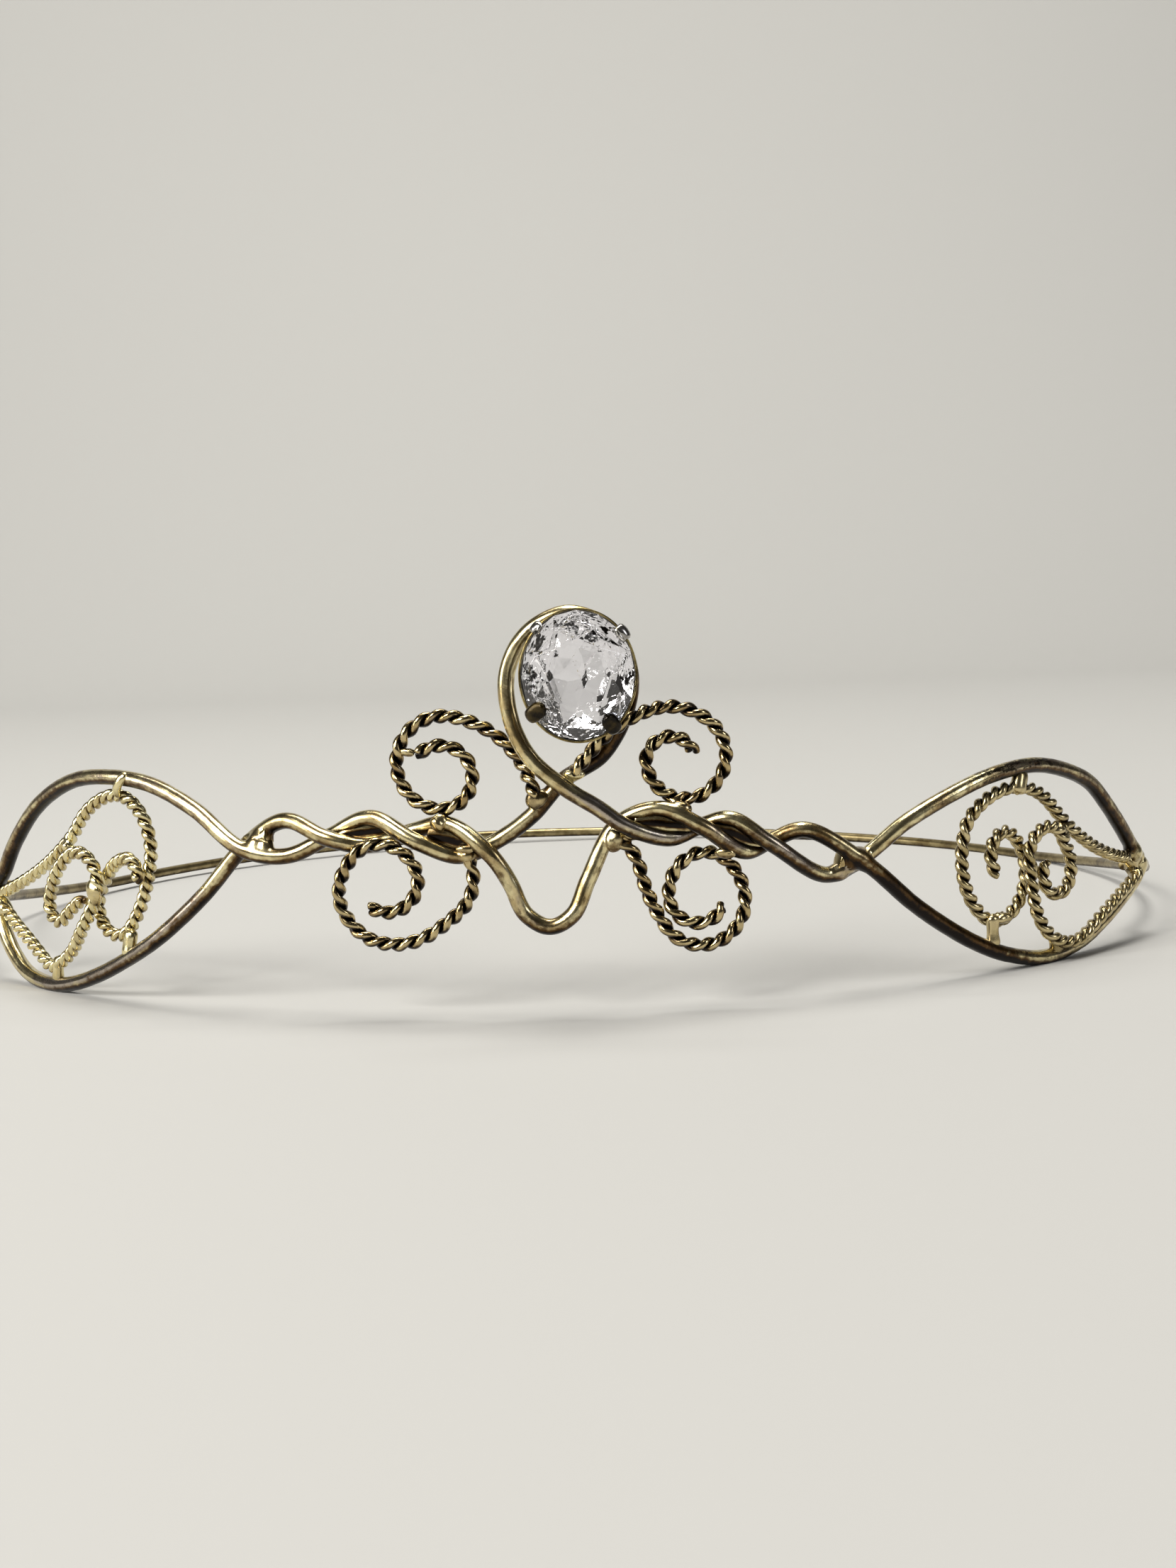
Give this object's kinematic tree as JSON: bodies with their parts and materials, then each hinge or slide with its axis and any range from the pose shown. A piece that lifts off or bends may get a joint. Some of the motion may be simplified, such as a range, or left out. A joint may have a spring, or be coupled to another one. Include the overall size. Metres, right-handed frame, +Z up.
{
  "type": "tiara",
  "caption": "Wire tiara with a twisted front band, open side eyes filled with twisted-wire scrolls, a loop that holds a claw-set clear oval stone, and a thin band behind.",
  "frame": {"origin": "middle of the footprint on the plane that the tiara stands on", "axes": "+Z up, -Y towards the front with the stone, +X to the right as seen from the front"},
  "size_m": [0.1754, 0.1828, 0.0489],
  "materials": {
    "wire": "tarnished round wire, silvery where worn",
    "band": "dull tarnished round wire",
    "rope": "twisted pair of thin wires, bright crests and dark grooves",
    "setting": "tarnished collar and claws",
    "stone": "clear colourless faceted oval"
  },
  "bodies": {
    "root": {"loop_wire": "wire", "dip_wire": "wire", "back_band": "band", "scroll_upper_left": "rope", "scroll_upper_right": "rope", "scroll_lower_left": "rope", "scroll_lower_right": "rope", "right_eye_outer_scroll": "rope", "right_eye_inner_scroll": "rope", "left_eye_outer_scroll": "rope", "left_eye_inner_scroll": "rope", "stone_setting": "setting", "stone": "stone"}
  },
  "joints": []
}
